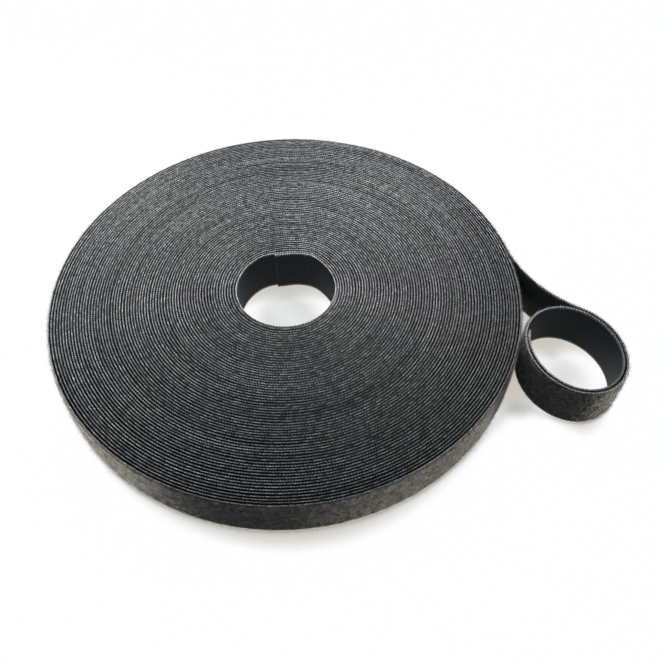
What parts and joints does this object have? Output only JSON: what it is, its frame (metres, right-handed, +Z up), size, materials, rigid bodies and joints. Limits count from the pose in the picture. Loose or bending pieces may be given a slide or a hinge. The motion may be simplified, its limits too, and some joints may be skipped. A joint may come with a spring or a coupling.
{
  "type": "hook and loop tape roll",
  "caption": "Coreless flat roll of back-to-back hook and loop tape, its outer end peeled off and curled into a standing ring beside the roll.",
  "frame": {"origin": "middle of the footprint of the roll and its curled end, on the surface that it lies on", "axes": "+Z up along the roll's axis, +X from the roll towards the curled end"},
  "size_m": [0.219, 0.1846, 0.02],
  "materials": {
    "hook_web": "woven nylon with fine hooks, satin",
    "loop_web": "napped knitted nylon pile, matt"
  },
  "bodies": {
    "roll": {"start_turn_hook_web": "hook_web", "start_turn_loop_web": "loop_web", "winding_hook_web": "hook_web", "winding_loop_web": "loop_web", "outer_turn_hook_web": "hook_web", "outer_turn_loop_web": "loop_web"},
    "start_tab": {"start_tab_hook_web": "hook_web", "start_tab_loop_web": "loop_web"},
    "tail": {"tail_hook_web": "hook_web", "tail_loop_web": "loop_web"},
    "ring": {"ring_hook_web": "hook_web", "ring_loop_web": "loop_web"},
    "end_tab": {"end_tab_hook_web": "hook_web", "end_tab_loop_web": "loop_web"}
  },
  "joints": [
    {"name": "start_lift", "type": "hinge", "parent": "roll", "child": "start_tab", "pos_m": [-0.00628, 0.01499, 0.01], "axis": [0, 0, 1], "range_deg": [0, 70]},
    {"name": "tail_peel", "type": "hinge", "parent": "roll", "child": "tail", "pos_m": [0.0735, 0.02042, 0.01], "axis": [0, 0, 1], "range_deg": [0, 120]},
    {"name": "ring_swing", "type": "hinge", "parent": "tail", "child": "ring", "pos_m": [0.0979, -0.01204, 0.01], "axis": [0, 0, 1], "range_deg": [0, 60]},
    {"name": "end_lift", "type": "hinge", "parent": "ring", "child": "end_tab", "pos_m": [0.07648, -0.03638, 0.01], "axis": [0, 0, -1], "range_deg": [0, 50]}
  ]
}
